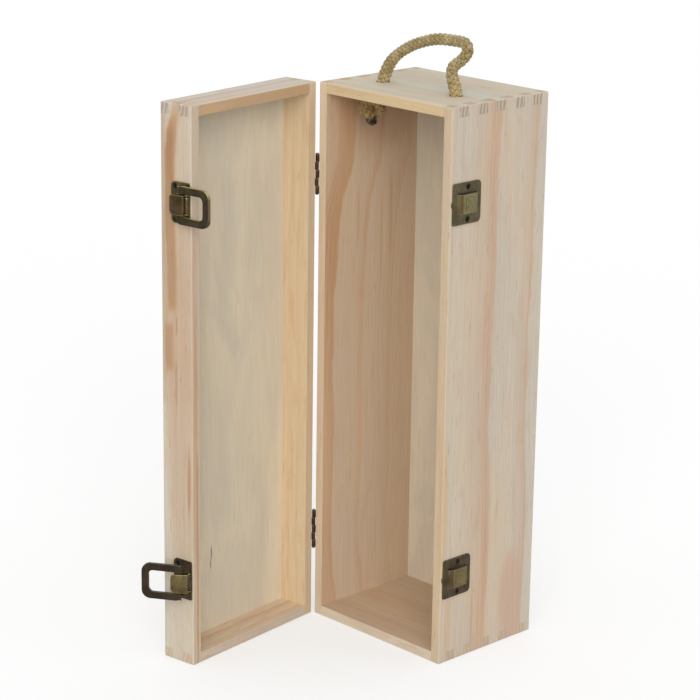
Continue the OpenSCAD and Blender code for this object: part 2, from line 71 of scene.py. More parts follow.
# Solved from the corners of the case and the lid: how the camera is turned, the point that
# it turns about, and where it stands from there along its own axes
CAMERA_AZIMUTH = math.radians(46.016)
CAMERA_ELEVATION = math.radians(16.392)
CAMERA_ROLL = math.radians(0.81)
CAMERA_AIM = Vector((-5.92 * MM, -41.75 * MM, 175 * MM))
CAMERA_OFFSET = Vector((-14.082 * MM, 14.105 * MM, 1497.441 * MM))
LENS = 124.57
SENSOR = 36
CLIP_END = 20


def camera_turn():
    """The camera's axes, as the columns of a matrix."""
    back = Vector(
        (
            math.sin(CAMERA_AZIMUTH) * math.cos(CAMERA_ELEVATION),
            -math.cos(CAMERA_AZIMUTH) * math.cos(CAMERA_ELEVATION),
            math.sin(CAMERA_ELEVATION),
        )
    )
    right = Vector((math.cos(CAMERA_AZIMUTH), math.sin(CAMERA_AZIMUTH), 0))
    up = back.cross(right)
    rolled_right = right * math.cos(CAMERA_ROLL) + up * math.sin(CAMERA_ROLL)
    rolled_up = up * math.cos(CAMERA_ROLL) - right * math.sin(CAMERA_ROLL)
    return Matrix((rolled_right, rolled_up, back)).transposed()


def make_camera():
    """The photograph's camera."""
    data = bpy.data.cameras.new("camera")
    data.sensor_width = SENSOR
    data.lens = LENS
    data.clip_end = CLIP_END
    camera = bpy.data.objects.new("camera", data)
    bpy.context.scene.collection.objects.link(camera)
    turn = camera_turn()
    place = CAMERA_AIM + turn @ CAMERA_OFFSET
    camera.matrix_world = Matrix.Translation(place) @ turn.to_4x4()
    bpy.context.scene.camera = camera


make_camera()


# ---- small helpers --------------------------------------------------------------------


def mesh_object(name, verts, faces, smooth=True):
    """A new mesh object at the origin."""
    mesh = bpy.data.meshes.new(name)
    mesh.from_pydata([tuple(v) for v in verts], [], faces)
    mesh.update()
    if smooth:
        mesh.shade_smooth()
    obj = bpy.data.objects.new(name, mesh)
    bpy.context.scene.collection.objects.link(obj)
    return obj


def catmull(points, steps):
    """The smooth curve through points, in steps pieces between each two."""
    p = [Vector(q) for q in points]
    out = []
    for i in range(len(p) - 1):
        a, b, c, d = p[max(i - 1, 0)], p[i], p[i + 1], p[min(i + 2, len(p) - 1)]
        for k in range(steps):
            u = k / steps
            out.append(
                0.5
                * (
                    2 * b
                    + (c - a) * u
                    + (2 * a - 5 * b + 4 * c - d) * u * u
                    + (3 * b - a - 3 * c + d) * u**3
                )
            )
    out.append(p[-1])
    return out


def even(points, count):
    """Count points spaced evenly along a line of points, and the line's length."""
    p = np.array([tuple(q) for q in points])
    along = np.concatenate([[0], np.cumsum(np.linalg.norm(np.diff(p, axis=0), axis=1))])
    at = np.linspace(0, along[-1], count)
    return np.stack([np.interp(at, along, p[:, k]) for k in range(3)], 1), along[-1]


def sideways(points):
    """Two directions across a line at each point, carried along it without twisting."""
    ahead = np.gradient(points, axis=0)
    ahead /= np.linalg.norm(ahead, axis=1)[:, None]
    side, n = [], np.array((0, 1, 0), float)
    for t in ahead:
        n = n - (n @ t) * t
        n /= np.linalg.norm(n)
        side.append(n)
    side = np.array(side)
    return side, np.cross(ahead, side)


def srgb(r, g, b):
    """A colour given as 0 to 255, as Blender's linear colour."""
    return tuple(
        c / 12.92 if c <= 0.04045 else ((c + 0.055) / 1.055) ** 2.4
        for c in (r / 255, g / 255, b / 255)
    )


def dress(node, material):
    """Gives a CAD node, or a new piece, one material."""
    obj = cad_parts[node] if isinstance(node, str) else node
    obj.data.materials.clear()
    obj.data.materials.append(material)
    return obj


# ---- shader helpers -------------------------------------------------------------------


class Shader:
    """A material's node tree, built with short calls. Sockets are passed from call to call."""

    def __init__(self, name):
        self.material = bpy.data.materials.new(name)
        self.material.use_nodes = True
        self.tree = self.material.node_tree
        self.tree.nodes.clear()
        out = self.node("ShaderNodeOutputMaterial")
        self.bsdf = self.node("ShaderNodeBsdfPrincipled")
        self.tree.links.new(self.bsdf.outputs["BSDF"], out.inputs["Surface"])
        place = self.node("ShaderNodeTexCoord")
        self.coords, self.normal = place.outputs["Object"], place.outputs["Normal"]

    def node(self, kind, **settings):
        """A new node with those settings."""
        made = self.tree.nodes.new(kind)
        for key, value in settings.items():
            setattr(made, key, value)
        return made

    def feed(self, socket, value):
        """Links another socket to this one, or sets its constant value."""
        if isinstance(value, bpy.types.NodeSocket):
            self.tree.links.new(value, socket)
        elif value is not None:
            socket.default_value = value

    def math(self, operation, a, b=None, c=None, clamp=False):
        made = self.node("ShaderNodeMath", operation=operation, use_clamp=clamp)
        for socket, value in zip(made.inputs, (a, b, c)):
            self.feed(socket, value)
        return made.outputs[0]

    def vector(self, operation, a, b=None, scale=None):
        made = self.node("ShaderNodeVectorMath", operation=operation)
        self.feed(made.inputs[0], a)
        self.feed(made.inputs[1], b)
        if scale is not None:
            made.inputs["Scale"].default_value = scale
        return made.outputs["Value" if operation in ("LENGTH", "DOT_PRODUCT") else "Vector"]

    def split(self, vector):
        made = self.node("ShaderNodeSeparateXYZ")
        self.feed(made.inputs[0], vector)
        return made.outputs

    def join(self, x, y, z):
        made = self.node("ShaderNodeCombineXYZ")
        for socket, value in zip(made.inputs, (x, y, z)):
            self.feed(socket, value)
        return made.outputs[0]

    def mapping(self, vector, location=(0, 0, 0), rotation=(0, 0, 0), scale=(1, 1, 1)):
        made = self.node("ShaderNodeMapping")
        self.feed(made.inputs["Vector"], vector)
        made.inputs["Location"].default_value = location
        made.inputs["Rotation"].default_value = rotation
        made.inputs["Scale"].default_value = scale
        return made.outputs[0]

    def noise(self, vector, scale, detail, rough, distortion=0.0):
        made = self.node("ShaderNodeTexNoise")
        self.feed(made.inputs["Vector"], vector)
        made.inputs["Scale"].default_value = scale
        made.inputs["Detail"].default_value = detail
        made.inputs["Roughness"].default_value = rough
        made.inputs["Distortion"].default_value = distortion
        return made.outputs[0]

    def ramp(self, value, stops, interpolation="LINEAR"):
        """What value becomes, from stops of (value, result)."""
        made = self.node("ShaderNodeValToRGB")
        self.feed(made.inputs[0], value)
        ramp = made.color_ramp
        ramp.interpolation = interpolation
        while len(ramp.elements) < len(stops):
            ramp.elements.new(0.5)
        for element, (at, result) in zip(ramp.elements, sorted(stops)):
            element.position = at
            element.color = (result, result, result, 1)
        return made.outputs[0]

    def range(self, value, low, high, to_low=0.0, to_high=1.0, smooth=True):
        """What value becomes when low turns into to_low and high into to_high."""
        made = self.node(
            "ShaderNodeMapRange", interpolation_type="SMOOTHSTEP" if smooth else "LINEAR"
        )
        for socket, v in zip(made.inputs, (value, low, high, to_low, to_high)):
            self.feed(socket, v)
        return made.outputs[0]

    def mix(self, factor, a, b, blend="MIX"):
        """Colour a with b over it, by factor."""
        made = self.node("ShaderNodeMix", data_type="RGBA", blend_type=blend)
        self.feed(made.inputs["Factor"], factor)
        for socket, value in ((made.inputs[6], a), (made.inputs[7], b)):
            if isinstance(value, tuple) and len(value) == 3:
                value = (*value, 1)
            self.feed(socket, value)
        return made.outputs[2]

    def times(self, colour, factor):
        """A colour times one factor."""
        return self.mix(1.0, colour, self.join(factor, factor, factor), "MULTIPLY")

    def bump(self, height, distance, strength):
        made = self.node("ShaderNodeBump")
        made.inputs["Strength"].default_value = strength
        made.inputs["Distance"].default_value = distance
        self.feed(made.inputs["Height"], height)
        return made.outputs[0]

    def edge(self, width, low, high):
        """1 along the outer edges of a shape and 0 on its flats, from how its normals turn."""
        bevel = self.node("ShaderNodeBevel", samples=6)
        bevel.inputs["Radius"].default_value = width
        geometry = self.node("ShaderNodeNewGeometry")
        flat = self.vector("DOT_PRODUCT", bevel.outputs[0], geometry.outputs["True Normal"])
        return self.range(flat, low, high)

    def profile(self, value, points, curve="LINEAR"):
        """What value becomes, from (value, result) in order, with results from 0 to 1."""
        start, end = points[0][0], points[-1][0]
        share = self.math("DIVIDE", self.math("SUBTRACT", value, start), end - start)
        stops = [((at - start) / (end - start), result) for at, result in points]
        return self.ramp(share, stops, curve)

    def set(self, **values):
        """Sets the surface's own sockets, and gives the finished material."""
        for key, value in values.items():
            if isinstance(value, tuple) and len(value) == 3:
                value = (*value, 1)
            self.feed(self.bsdf.inputs[key.replace("_", " ")], value)
        return self.material


# ---- pine -----------------------------------------------------------------------------

PALE = srgb(214, 198, 176)
WARM = srgb(222, 190, 148)
PINK = srgb(196, 160, 132)
RUST = srgb(166, 119, 88)
CANAL = srgb(150, 108, 84)
# The painted shadow in the slits beside a catch's tongue
SLIT_SHADE = srgb(46, 34, 22)
END_PALE = srgb(196, 180, 162)
END_DARK = srgb(146, 128, 114)

# How the tone of a thin ring rises to its dark late wood and drops
THIN_RING = ((0, 0), (0.55, 0.3), (0.9, 1.0), (0.97, 0.1), (1, 0))
# The whole span of the rings' shiver, in mm
SHIVER = 3.0


def board_point(shader, along, on_lid):
    """A point, and the face's normal, in the board's own axes in mm: Z runs along the grain."""
    point, normal = shader.coords, shader.normal
    if on_lid:
        back_turn = (0, 0, LID_OPEN)
        point = shader.mapping(point, location=LID_BACK.to_translation(), rotation=back_turn)
        normal = shader.mapping(normal, rotation=back_turn)
    turn = {"Z": (0, 0, 0), "X": (0, -math.pi / 2, 0)}[along]
    point = shader.mapping(point, rotation=turn)
    return shader.vector("SCALE", point, scale=1 / MM), shader.mapping(normal, rotation=turn)


def ring_depth(shader, point, edge, pith, sway, wander, seed):
    """How far from edge on, away from the pith, a point lies in the rings, in mm."""
    x, y, z = shader.split(point)
    slow = shader.mapping(
        point, location=(seed, seed * 0.7, seed * 1.3), scale=(0.02, 0.02, 0.008)
    )
    stray = shader.math("SUBTRACT", shader.noise(slow, 1.0, 3.0, 0.5), 0.5)
    shiver = shader.noise(shader.mapping(point, scale=(0.1, 0.1, 0.06)), 1.0, 3.0, 0.6)
    shiver = shader.math("MULTIPLY_ADD", shiver, SHIVER, -SHIVER / 2)
    dx = shader.math("SUBTRACT", x, pith[0])
    dy = shader.math("SUBTRACT", y, pith[1])
    square = shader.math("MULTIPLY_ADD", dx, dx, shader.math("MULTIPLY", dy, dy))
    outward = shader.math("SUBTRACT", shader.math("SQRT", square), math.dist(pith, edge))
    shifts = [shift for _, shift in sway]
    lowest, span = min(shifts), (max(shifts) - min(shifts)) or 1
    bend = shader.profile(
        z,
        [(place, (shift - lowest) / span) for place, shift in sway],
        "B_SPLINE" if len(sway) > 2 else "LINEAR",
    )
    deep = shader.math("MULTIPLY_ADD", stray, 2 * wander, outward)
    deep = shader.math("ADD", deep, shiver)
    return shader.math("SUBTRACT", shader.math("MULTIPLY_ADD", bend, -span, deep), lowest)


def ring_tone(shader, point, deep, rings, fine):
    """The tone of the broad bands and the thin rings, and the place within a thin ring."""
    pitch, strength = fine
    thin = shader.math("FRACT", shader.math("DIVIDE", deep, pitch))
    patchy = shader.noise(shader.mapping(point, scale=(0.06, 0.06, 0.006)), 1.0, 2.0, 0.5)
    kept = shader.range(patchy, 0.35, 0.65, 0.2 * strength, strength)
    thin_tone = shader.math("MULTIPLY", shader.ramp(thin, THIN_RING), kept)
    broad_tone = shader.profile(deep, rings)
    return shader.math("ADD", broad_tone, thin_tone, clamp=True), thin


def wood_fibres(shader, point, seed):
    """Long thin streaks, finer hairs, and short dark resin canals."""
    fibre = shader.noise(
        shader.mapping(point, location=(seed, 0, 0), scale=(1, 1, 0.012)), 1.1, 4.0, 0.65
    )
    hair = shader.noise(shader.mapping(point, scale=(1, 1, 0.03)), 4.0, 3.0, 0.6)
    canals = shader.noise(
        shader.mapping(point, location=(0, seed, 0), scale=(1, 1, 0.06)), 1.3, 2.0, 0.5
    )
    return fibre, hair, shader.range(canals, 0.66, 0.75)


def paint_figure(shader, point, colour, figure, blotch):
    """Soft patches of other colours, with ragged edges."""
    for middle, half, paint, strength in figure:
        away = shader.vector("DIVIDE", shader.vector("SUBTRACT", point, middle), half)
        ragged = shader.math("MULTIPLY_ADD", blotch, 1.2, shader.vector("LENGTH", away))
        colour = shader.mix(shader.range(ragged, 1.75, 1.25, 0, strength), colour, paint)
    return colour


def paint_end_grain(shader, normal, colour, thin, end_grain):
    """End grain takes up dirt and glue, so it is darker and its rings are stronger."""
    sawn_end = shader.range(shader.math("ABSOLUTE", shader.split(normal)[2]), 0.7, 0.9)
    off_middle = shader.math("ABSOLUTE", shader.math("SUBTRACT", thin, 0.5))
    stripes = shader.mix(shader.range(off_middle, 0.42, 0.08), END_PALE, END_DARK)
    return shader.mix(shader.math("MULTIPLY", sawn_end, end_grain), colour, stripes)


def paint_slit_shade(shader, point, colour, slit_shades):
    """Painted shadow: dark rectangular places, for the slits beside a catch's tongue."""
    for middle, half in slit_shades:
        away = shader.vector("ABSOLUTE", shader.vector("SUBTRACT", point, middle))
        u, v, w = shader.split(shader.vector("SUBTRACT", half, away))
        least = shader.math("MINIMUM", shader.math("MINIMUM", u, v), w)
        colour = shader.mix(shader.range(least, -0.2, 0.3, 0, 0.93), colour, SLIT_SHADE)
    return colour


def pine(
    name,
    rings,
    edge,
    pith,
    seed,
    along="Z",
    on_lid=False,
    sway=((0, 0), (350, 0)),
    wander=2.0,
    fine=(3.1, 0.22),
    tint=PALE,
    late=(PINK, RUST),
    rim=PALE,
    end_grain=0.6,
    cloudy=0.3,
    fade=None,
    figure=(),
    slit_shades=(),
):
    """Sanded pine. Its growth rings run round the pith, a line along the grain.

    pith and edge are points across the grain in mm, and rings gives the wood from edge
    on, away from the pith, as (distance in mm, tone), where 0 is pale early wood and 1 is
    dark late wood. sway moves the rings as they run along the grain, as (place, shift).
    wander is how far they stray besides, and fine is the pitch and tone of the thin rings.
    tint is the early wood's colour, late the dark wood's two and rim that of the sawn
    edges. end_grain is how much the cut ends differ, and cloudy how blotchy the face is.
    fade gives the share of their tone that the rings keep, as (place, share) along the
    grain. figure is soft patches, as (middle, half size, colour, strength), and the last
    argument gives dark places of painted shadow, as (middle, half size), both in the board's own
    axes.
    """
    shader = Shader(name)
    point, normal = board_point(shader, along, on_lid)
    deep = ring_depth(shader, point, edge, pith, sway, wander, seed)
    tone, thin = ring_tone(shader, point, deep, rings, fine)
    if fade is not None:
        kept = shader.profile(shader.split(point)[2], fade, "EASE")
        tone = shader.math("MULTIPLY", tone, kept)
    fibre, hair, canal = wood_fibres(shader, point, seed)
    cloud = shader.noise(shader.mapping(point, scale=(0.03, 0.03, 0.008)), 1.0, 3.0, 0.5)
    ragged = shader.mapping(point, location=(seed, seed, 0), scale=(0.14, 0.14, 0.03))
    blotch = shader.noise(ragged, 1.0, 3.0, 0.6, 0.5)

    sawn = shader.range(shader.math("ABSOLUTE", shader.split(normal)[1]), 0.6, 0.9)
    tint = shader.mix(sawn, tint, rim)
    tone = shader.math("MULTIPLY", tone, shader.range(sawn, 0, 1, 1, 0.45, smooth=False))
    colour = shader.mix(shader.range(tone, 0.0, 0.7, smooth=False), tint, late[0])
    colour = shader.mix(shader.range(tone, 0.5, 1.0, smooth=False), colour, late[1])
    colour = shader.mix(shader.range(cloud, 0.4, 0.7, 0.0, 0.25), colour, WARM)
    colour = shader.mix(shader.range(blotch, 0.48, 0.72, 0.0, cloudy), colour, late[0])
    colour = paint_figure(shader, point, colour, figure, blotch)
    streak = shader.math(
        "MULTIPLY",
        shader.range(fibre, 0.3, 0.72, 1.06, 0.925, smooth=False),
        shader.range(hair, 0.3, 0.7, 1.035, 0.965, smooth=False),
    )
    colour = shader.times(colour, streak)
    colour = shader.mix(shader.math("MULTIPLY", canal, 0.45), colour, CANAL)
    colour = paint_end_grain(shader, normal, colour, thin, end_grain)
    colour = paint_slit_shade(shader, point, colour, slit_shades)
    relief = shader.math("MULTIPLY_ADD", hair, 0.5, shader.math("MULTIPLY", fibre, 0.5))
    return shader.set(
        Base_Color=colour,
        Roughness=shader.range(fibre, 0.2, 0.8, 0.55, 0.68),
        Specular_IOR_Level=0.3,
        Normal=shader.bump(relief, 0.1 * MM, 0.5),
    )


# ---- plywood --------------------------------------------------------------------------

PLY_PALE = srgb(213, 203, 184)
PLY_CREAM = srgb(225, 213, 189)
PLY_YELLOW = srgb(224, 210, 174)
PLY_FLAME = srgb(206, 178, 140)
PLY_PORE = srgb(168, 140, 108)
PLY_MARK = srgb(112, 100, 84)
PLY_SLANT = math.radians(-32)
FLAME_LINES = 16.0
# How a flame's line darkens towards its edge
FLAME_LINE = ((0, 0.0), (0.6, 0.35), (0.9, 1.0), (1, 0.0))


def plywood(name, on_lid, seed, marks=()):
    """Plain rotary-cut plywood: pale and cloudy, with faint slanting yellow figure.

    marks are small and dark, as (middle, half size) in the board's own axes in mm.
    """
    shader = Shader(name)
    point, _ = board_point(shader, "Z", on_lid)
    slanted = shader.mapping(point, rotation=(0, PLY_SLANT, 0))
    clouds = shader.mapping(point, location=(seed, 0, 0), scale=(0.03, 0.03, 0.012))
    wide = shader.noise(clouds, 1.0, 3.0, 0.5, 0.6)
    slants = shader.mapping(slanted, location=(0, 0, seed), scale=(0.07, 0.07, 0.014))
    slant = shader.noise(slants, 1.0, 3.0, 0.6, 0.6)
    # a rotary cut follows the rings, so they show as wide flames along the height
    flames = shader.mapping(point, location=(0, seed, 0), scale=(0.035, 0.035, 0.0045))
    flame = shader.noise(flames, 1.0, 3.0, 0.5, 0.3)
    contour = shader.math("FRACT", shader.math("MULTIPLY", flame, FLAME_LINES))
    contour = shader.ramp(contour, FLAME_LINE)
    fibre = shader.noise(shader.mapping(point, scale=(0.9, 0.9, 0.02)), 1.6, 4.0, 0.65)
    pores = shader.noise(shader.mapping(point, scale=(1, 1, 0.08)), 2.4, 2.0, 0.5)
    colour = shader.mix(shader.range(wide, 0.35, 0.65), PLY_PALE, PLY_CREAM)
    colour = shader.mix(shader.range(slant, 0.48, 0.7, 0, 0.25), colour, PLY_YELLOW)
    colour = shader.mix(shader.math("MULTIPLY", contour, 0.17), colour, PLY_FLAME)
    colour = shader.times(colour, shader.range(fibre, 0.3, 0.7, 1.03, 0.96, smooth=False))
    colour = shader.mix(shader.range(pores, 0.66, 0.78, 0, 0.25), colour, PLY_PORE)
    for middle, half in marks:
        away = shader.vector("DIVIDE", shader.vector("SUBTRACT", point, middle), half)
        dark = shader.range(shader.vector("LENGTH", away), 1.0, 0.4, 0, 0.75)
        colour = shader.mix(dark, colour, PLY_MARK)
    return shader.set(
        Base_Color=colour,
        Roughness=0.62,
        Specular_IOR_Level=0.3,
        Normal=shader.bump(fibre, 0.08 * MM, 0.4),
    )


# ---- boards ---------------------------------------------------------------------------

# Where the boards' faces lie, in mm: the case's right side, its mouth, the lid's rim, the
# inside of the left boards and of the lid's panel
SIDE = BOX_W / 2 / MM
RIM = -CASE_D / 2 / MM
LID_RIM = RIM - SEAM_GAP / MM
INSIDE = -SIDE + BOARD_T / MM
PANEL_FACE = LID_RIM - (LID_D - PANEL_T) / MM
# In the axes of a board whose grain runs along X, the top end lies at -X
TOP = -BOX_H / MM

# Heights of the catches, and the wood that each hides but for the slits beside its tongue,
# which gets painted shadow: how far its middle lies behind the mouth, and its half size
CATCH_HEIGHTS = (291.7, 55.5)
CATCH_IN = 14.6
CATCH_HALF = (3, 7.4, 7.4)


def right_side_wood():
    return pine(
        "pine_case_right",
        rings=(
            (-2, 0.1), (1, 0.15), (6, 0.05), (14, 0.08), (22, 0.2), (30, 0.3), (33, 0.45),
            (38.5, 0.5), (41, 0.12), (60, 0.08), (65, 0.2), (70, 0.3), (71.6, 0.45),
            (73.2, 0.04), (84, 0.0),
        ),
        edge=(SIDE, RIM),
        pith=(SIDE + 60, RIM - 260),
        sway=(
            (0, 1), (25, -1), (50, 2), (75, 2), (100, 1.5), (125, 0), (150, -2.5), (175, -1),
            (200, -2), (225, -0.5), (250, 1.5), (275, -1), (300, 0.5), (325, 0.5), (350, 3),
        ),
        wander=0.8,
        fine=(3.1, 0.12),
        tint=srgb(204, 196, 180),
        rim=srgb(212, 192, 162),
        figure=(
            ((SIDE, RIM + 64, 28), (9, 12, 34), srgb(202, 170, 146), 0.75),
            ((SIDE, RIM + 7, 24), (5, 3, 26), srgb(206, 174, 138), 0.55),
            ((SIDE, RIM + 1, 100), (3, 3.4, 52), srgb(208, 180, 142), 0.75),
            ((SIDE, RIM + 28.5, 20), (4, 1.2, 30), srgb(186, 150, 122), 0.45),
            ((SIDE, RIM + 36, 200), (4, 4, 22), srgb(204, 166, 144), 0.5),
            ((SIDE, RIM + 39, 55), (4, 3, 38), srgb(194, 158, 134), 0.4),
        ),
        # Painted shadow in the slits beside the catches' tongues
        slit_shades=[((SIDE, RIM + CATCH_IN, z), CATCH_HALF) for z in CATCH_HEIGHTS],
        seed=3.0,
    )


def left_side_wood():
    return pine(
        "pine_case_left",
        rings=(
            (-14, 0.2), (-5, 0.3), (0, 0.6), (6, 0.7), (11.5, 0.85), (12.5, 0.15), (30, 0.2),
            (33, 0.45), (35.2, 0.6), (36.4, 0.15), (54, 0.25), (60, 0.45), (61.5, 0.2),
            (84, 0.35),
        ),
        edge=(INSIDE, RIM),
        pith=(-SIDE - 60, RIM - 200),
        sway=(
            (0, 2), (20, -1), (40, -4), (60, -5), (80, -4), (100, -3.5), (140, -2.5),
            (158, -5.5), (175, -4), (212, -4), (225, -2.5), (250, -1), (272, 1), (286, 6),
            (300, 11), (325, 12), (350, 13),
        ),
        fade=((0, 0.65), (150, 0.75), (250, 0.9), (350, 1)),
        wander=1.2,
        fine=(3.4, 0.22),
        tint=srgb(207, 188, 164),
        late=(srgb(200, 162, 128), srgb(186, 140, 98)),
        rim=srgb(227, 211, 186),
        end_grain=0.35,
        figure=(
            ((INSIDE, RIM + 46, 335), (3, 44, 34), srgb(188, 142, 108), 0.4),
            ((INSIDE, RIM + 49, 245), (3, 1.2, 38), srgb(172, 132, 100), 0.25),
            ((INSIDE, RIM + 57, 262), (3, 1.6, 30), srgb(170, 130, 98), 0.25),
            ((INSIDE, RIM + 28.5, 262), (3, 1.1, 20), srgb(180, 142, 110), 0.3),
        ),
        seed=11.0,
    )


def case_top_wood():
    return pine(
        "pine_case_top",
        along="X",
        rings=((0, 0.1), (8, 0.25), (9, 0.05), (30, 0.2), (31, 0.05), (60, 0.2), (84, 0.1)),
        edge=(TOP, RIM),
        pith=(TOP - 40, RIM - 320),
        sway=((-56, 0), (56, 2)),
        fine=(2.9, 0.25),
        tint=srgb(203, 204, 188),
        rim=srgb(218, 194, 152),
        end_grain=0.7,
        seed=23.0,
    )


def case_bottom_wood():
    return pine(
        "pine_case_bottom",
        along="X",
        rings=((0, 0.1), (20, 0.3), (21, 0.05), (50, 0.25), (51, 0.05), (84, 0.2)),
        edge=(0, RIM),
        pith=(40, RIM - 220),
        sway=((-56, 0), (56, -2)),
        fine=(3.2, 0.35),
        tint=srgb(206, 186, 160),
        rim=srgb(226, 210, 186),
        end_grain=0.25,
        seed=31.0,
    )


def hinge_rail_wood():
    return pine(
        "pine_lid_hinge_rail",
        on_lid=True,
        rings=(
            (-3, 0.2), (3, 0.1), (7, 0.3), (9, 0.1), (14, 0.3), (16, 0.1), (20, 0.3),
            (25, 0.2),
        ),
        edge=(INSIDE, LID_RIM),
        pith=(-SIDE - 40, LID_RIM + 240),
        sway=((0, -1), (90, 2), (180, -1.5), (250, 1.5), (350, -2)),
        wander=5.0,
        fine=(2.6, 0.12),
        tint=srgb(221, 203, 168),
        late=(srgb(210, 172, 132), srgb(180, 132, 90)),
        rim=srgb(208, 188, 160),
        end_grain=0.4,
        cloudy=0.6,
        seed=41.0,
    )


def free_rail_wood():
    return pine(
        "pine_lid_free_rail",
        on_lid=True,
        rings=(
            (-5, 0.2), (2, 0.1), (8, 0.15), (12, 0.3), (13.6, 0.7), (16, 1.0), (19.4, 0.9),
            (21, 0.15), (30, 0.0),
        ),
        edge=(SIDE, LID_RIM),
        pith=(SIDE + 60, LID_RIM + 240),
        sway=(
            (0, -3), (140, -2), (190, 1.5), (214, 1.5), (226, -1.5), (255, -1), (270, 0),
            (320, 0), (336, -2), (350, -7),
        ),
        fade=(
            (0, 0.1), (150, 0.15), (182, 0.3), (192, 0.8), (212, 0.8), (220, 0.35),
            (230, 1), (325, 1), (350, 0.5),
        ),
        wander=0.8,
        fine=(3.1, 0.12),
        tint=srgb(211, 202, 184),
        late=(srgb(196, 158, 124), srgb(168, 124, 88)),
        rim=srgb(204, 187, 166),
        end_grain=0.5,
        figure=(
            ((SIDE, LID_RIM - 6, 168), (6, 15, 130), srgb(190, 156, 124), 0.45),
            # The patch 22 mm behind the rim is partly the band of rings and partly painted shade
            # along the rounded edge
            ((SIDE, LID_RIM - 22, 262), (4, 4, 95), srgb(178, 148, 120), 0.5),
            ((SIDE, LID_RIM - 3, 118), (3, 1.6, 26), srgb(180, 136, 106), 0.7),
            ((SIDE, LID_RIM - 13, 180), (3, 1.1, 18), srgb(184, 144, 114), 0.6),
            ((SIDE, LID_RIM - 12.5, 216), (3, 0.9, 8), srgb(176, 136, 104), 0.6),
            ((SIDE, LID_RIM - 7, 200), (4, 3, 44), srgb(206, 172, 144), 0.5),
            ((SIDE - 4, LID_RIM, 70), (1.1, 2, 80), srgb(190, 142, 102), 0.75),
            ((SIDE - 3, LID_RIM, 180), (0.8, 2, 50), srgb(194, 150, 112), 0.6),
        ),
        seed=53.0,
    )


def lid_end_wood(name, end, pith, tint, rim, end_grain, seed):
    """The wood of the lid's top or bottom rail, whose outer face lies at end."""
    return pine(
        name,
        along="X",
        on_lid=True,
        rings=((-2, 0.2), (6, 0.35), (7, 0.15), (15, 0.45), (16, 0.15), (26, 0.3)),
        edge=(end, LID_RIM),
        pith=(pith, LID_RIM + 200),
        sway=((-56, 0), (56, 1)),
        tint=tint,
        rim=rim,
        end_grain=end_grain,
        seed=seed,
    )


def lid_top_wood():
    tint, rim = srgb(207, 211, 202), srgb(192, 160, 122)
    return lid_end_wood("pine_lid_top_rail", TOP, TOP + 50, tint, rim, 0.55, 61.0)


def lid_bottom_wood():
    tint, rim = srgb(230, 214, 186), srgb(214, 198, 178)
    return lid_end_wood("pine_lid_bottom_rail", 0, 40, tint, rim, 0.25, 67.0)


def lid_panel_wood():
    marks = (
        ((17.6, PANEL_FACE, 58), (0.9, 2, 6)),
        ((18.4, PANEL_FACE, 51), (0.7, 2, 5)),
    )
    return plywood("plywood_lid", True, 83.0, marks)


def dress_boards():
    """Each board is its own piece of wood, so each has its own rings."""
    dress("case_right_side", right_side_wood())
    dress("case_left_side", left_side_wood())
    dress("case_top", case_top_wood())
    dress("case_bottom", case_bottom_wood())
    dress("lid_hinge_rail", hinge_rail_wood())
    dress("lid_free_rail", free_rail_wood())
    dress("lid_top_rail", lid_top_wood())
    dress("lid_bottom_rail", lid_bottom_wood())
    dress("case_back", plywood("plywood_back", False, 71.0))
    dress("lid_panel", lid_panel_wood())


# ---- metal ----------------------------------------------------------------------------

# The width of the worn stripe along an edge, which also carries painted highlight, and how blotchy
# the brass is
WEAR_AND_SHEEN_WIDTH = 0.8 * MM
BLOTCHY = 0.8

HINGE_TONES = ((80, 58, 38), (46, 32, 24), (140, 116, 74))
NAIL_TONES = ((26, 22, 17), (14, 12, 9), (64, 56, 44))
# The catch's worn edge tone, which also carries painted highlight on its upper edges
CATCH_WEAR_AND_SHEEN = srgb(156, 144, 102)
# The painted shade on the steep sides of a catch's tongue
TONGUE_SLOPE_SHADE = srgb(96, 78, 44)
# The height over the wood at which a catch turns from its plate's tone to its tongue's
TONGUE_FROM, TONGUE_FULL = 1.4, 3.0

# The upper and the lower set differ in tone: each piece's own tone, its dark one and, but for
# the catch, its worn one, which also carries painted highlight, bright on the upper ring and
# dull on the lower
LATCH_TONES = {
    "upper": {
        "catch": ((100, 92, 66), (78, 70, 50)),
        "tongue": (134, 126, 88),
        "ring": ((70, 60, 40), (48, 40, 26), (200, 186, 130)),
        "lever": ((84, 64, 38), (60, 46, 28), (190, 172, 116)),
        "plate": ((104, 92, 60), (66, 56, 36), (196, 182, 126)),
    },
    "lower": {
        "catch": ((84, 72, 52), (60, 50, 36)),
        "tongue": (122, 108, 72),
        "ring": ((64, 54, 42), (46, 38, 30), (108, 98, 74)),
        "lever": ((108, 96, 62), (70, 58, 36), (188, 176, 120)),
        "plate": ((84, 70, 52), (58, 46, 34), (150, 134, 96)),
    },
}

# Sizes of the rounded edges
FINE_BEVEL = 0.12 * MM
LEVER_BEVEL = 0.2 * MM
RING_BEVEL = 0.6 * MM
BEVEL_ANGLE = math.radians(35)
WELD_REACH = 1e-6


